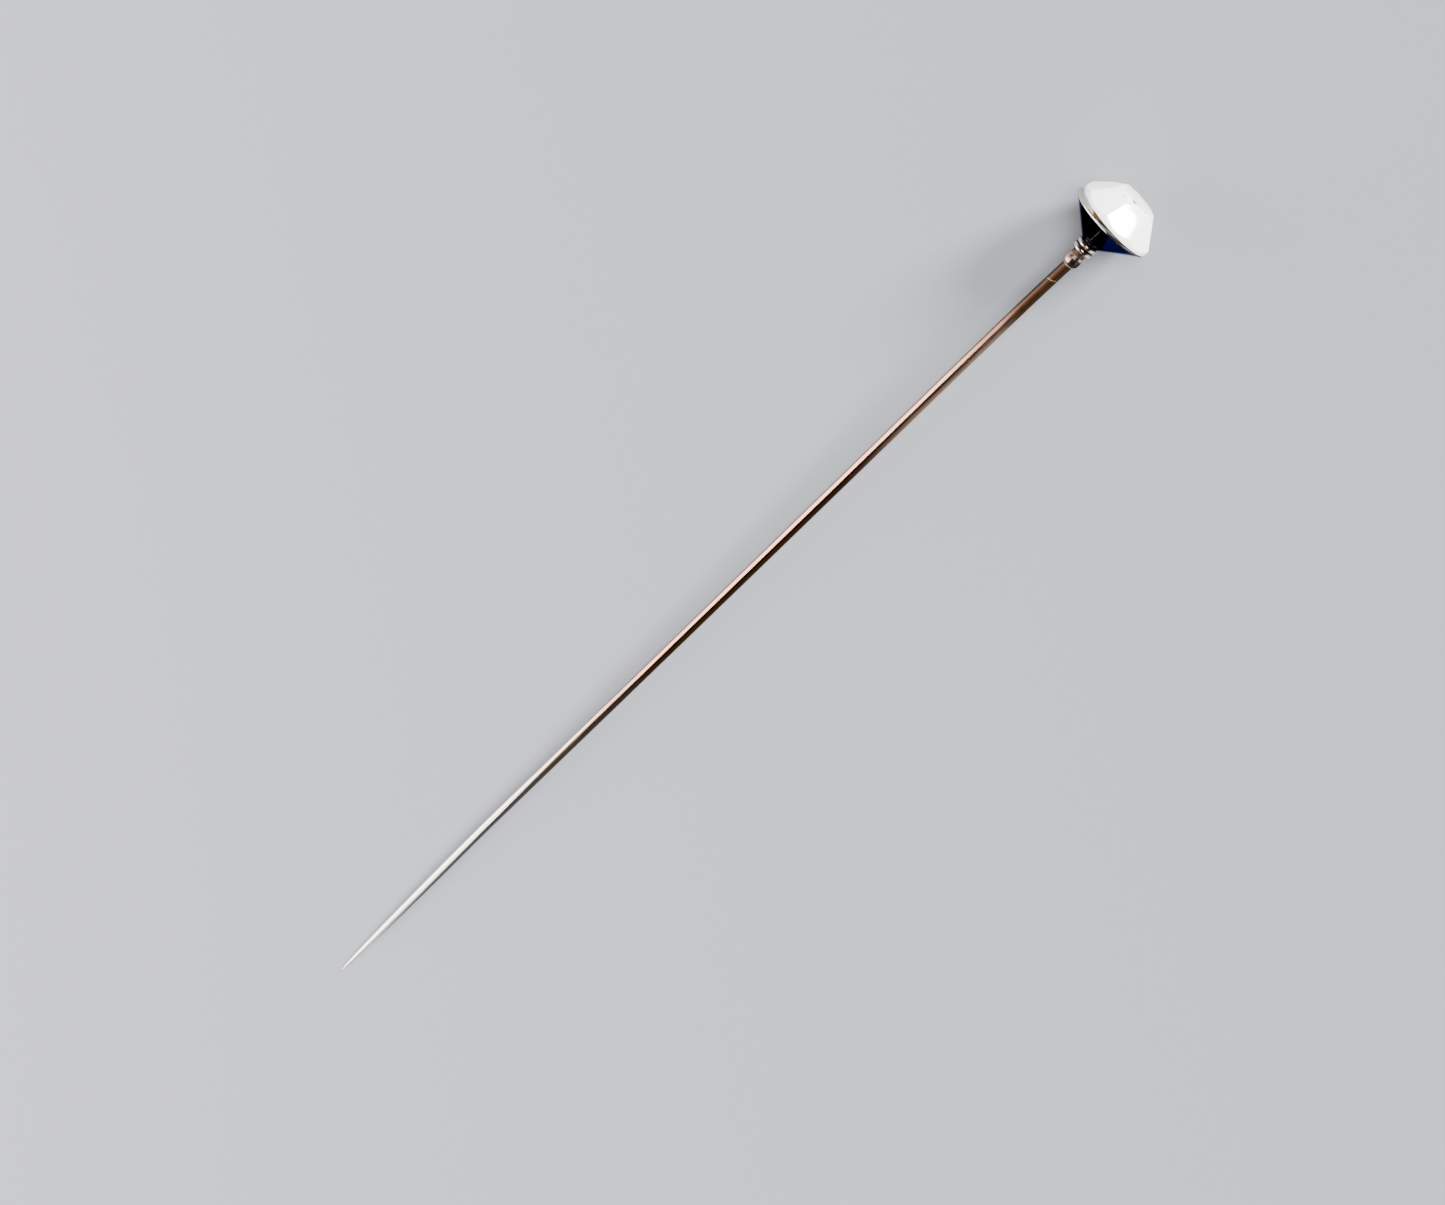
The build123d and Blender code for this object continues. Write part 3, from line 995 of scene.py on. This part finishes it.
def build_stone(material):
    """The faceted stone, with rubbed edges and a few chips."""
    mesh = stone_blank()
    cut_facets(mesh)
    rub_edges(mesh)
    stone = add_object("stone_before_chips", mesh_data("stone_before_chips", mesh))
    tools = add_object("chip_tools", mesh_data("chip_tools", chip_tools()))
    bite = stone.modifiers.new("bite", "BOOLEAN")
    bite.operation = "DIFFERENCE"
    bite.object = tools
    bite.solver = "EXACT"
    bite.use_self = True
    bpy.context.view_layer.update()
    chipped = bmesh.new()
    chipped.from_object(stone, bpy.context.evaluated_depsgraph_get())
    for thing in (stone, tools):
        bpy.data.objects.remove(thing)
    return finish_piece("faceted_stone", chipped, material, "stone", 9)


# ---------------------------------------------------------------- stage

def build_floor():
    """A plain pale floor that the pin lies on, touched by the bezel and the tip."""
    low, high = edges_of("bezel")
    rest = Vector((low.x / 2 + high.x / 2, 0, low.z))
    tip = Vector((TIP_X, 0, 0))
    slope = math.atan2(tip.z - rest.z, tip.x - rest.x)
    half = 4000
    corners = [(-half, -half), (half, -half), (half, half), (-half, half)]
    data = bpy.data.meshes.new("floor")
    data.from_pydata([Vector((x, y, 0)) * MM for x, y in corners], [], [(0, 1, 2, 3)])
    floor = add_object("floor", data)
    floor.matrix_world = Matrix.Translation(rest * MM) @ Matrix.Rotation(-slope, 4, "Y")
    pale, paler = (0.190, 0.202, 0.222), (0.202, 0.214, 0.234)
    paper = Nodes("floor_paper")
    tone = paper.blend(paper.noise(0.002, 2.0), pale, paler)
    data.materials.append(paper.finish(Base_Colour=tone, Roughness=0.9))


def add_light(name, place, target, size, power, colour):
    """A soft rectangular light, aimed from place at target, both in millimetres."""
    data = bpy.data.lights.new(name, "AREA")
    data.shape = "RECTANGLE"
    data.size, data.size_y = (side * MM for side in size)
    data.energy = power
    data.color = colour
    light = add_object(name, data)
    place, target = Vector(place) * MM, Vector(target) * MM
    light.location = place
    light.rotation_euler = (target - place).to_track_quat("-Z", "Y").to_euler()


def add_sun(name, towards, spread, strength, colour):
    """An even light over the whole floor, from the direction of a point in millimetres.
    spread is how wide the light looks, in degrees."""
    data = bpy.data.lights.new(name, "SUN")
    data.angle = math.radians(spread)
    data.energy = strength
    data.color = colour
    light = add_object(name, data)
    light.rotation_euler = Vector(towards).to_track_quat("Z", "Y").to_euler()


def build_world():
    """Pale at the horizon, like the floor, and darker overhead."""
    low, high = 0.10, 0.50  # between which heights it changes
    horizon, overhead = 0.62, 0.10  # how bright it is there
    world = bpy.data.worlds.new("studio")
    world.use_nodes = True
    tree = world.node_tree
    place = tree.nodes.new("ShaderNodeTexCoord").outputs["Generated"]
    split = tree.nodes.new("ShaderNodeSeparateXYZ")
    tree.links.new(place, split.inputs[0])
    fade = tree.nodes.new("ShaderNodeMapRange")
    fade.interpolation_type = "SMOOTHSTEP"
    fade.inputs["From Min"].default_value = low
    fade.inputs["From Max"].default_value = high
    fade.inputs["To Min"].default_value = horizon
    fade.inputs["To Max"].default_value = overhead
    tree.links.new(split.outputs[2], fade.inputs["Value"])
    background = tree.nodes["Background"]
    background.inputs["Color"].default_value = (0.95, 0.97, 1.0, 1)
    tree.links.new(fade.outputs["Result"], background.inputs["Strength"])
    bpy.context.scene.world = world


def build_lights():
    """A low key on the stone's side, and side lights that draw the highlights on the
    wire and the rings."""
    head = (-7, 0, 0)
    point = (120, 0, 0)
    add_sun("key", (-900, 260, 350), 17, 14.5, (1.0, 0.99, 0.97))
    add_sun("top", (-260, 60, 570), 28, 6.2, (0.97, 0.98, 1.0))
    add_light("side", (350, -275, 225), (350, 0, 0), (500, 420), 5.2, (1.0, 0.87, 0.82))
    add_light("shaded_side", (330, 290, 190), (330, 0, 0), (420, 260), 0.16, (1.0, 0.93, 0.80))
    add_light("cool_side", (35, 300, 85), head, (50, 165), 0.12, (0.93, 1.0, 0.96))
    add_light("point", (540, 30, 400), point, (320, 300), 1.5, (1.0, 1.0, 1.0))


def build_camera():
    """The camera: above the head, looking down along the shank, and rolled."""
    place = Vector((-49.7, -1.0, 206.3))
    target = Vector((56.0, 0.4, 0.0))
    roll = math.radians(225.2)
    data = bpy.data.cameras.new("camera")
    data.sensor_width = 36
    data.lens = 49.8
    data.clip_start = 0.005
    data.clip_end = 50
    camera = add_object("camera", data)
    back = (place - target).normalized()
    level = Vector((0, 0, 1)).cross(back).normalized()
    upright = back.cross(level)
    right = level * math.cos(roll) + upright * math.sin(roll)
    up = back.cross(right)
    turn = Matrix((right, up, back)).transposed().to_4x4()
    camera.matrix_world = Matrix.Translation(place * MM) @ turn
    bpy.context.scene.camera = camera


build_camera()
build_floor()
build_lights()
build_world()

neck_metal = neck_material()
solder = solder_material()
build_shank(shank_material())
build_shank_solder(solder)
build_sleeve(neck_metal)
build_ring("lower_ring", "lower_neck_ring", LOWER_RING, 5, neck_metal)
build_ring("upper_ring", "upper_neck_ring", UPPER_RING, 7, neck_metal)
build_neck_solder(solder)
build_cup(cup_material())
build_bezel(bezel_material())
build_stone(stone_material())

for node, material in (
    ("anchor_washer", washer_material()),
    ("cement_bed", cement_material()),
    ("foil_backing", foil_material()),
):
    frame["nodes"][node].data.materials.clear()
    frame["nodes"][node].data.materials.append(material)
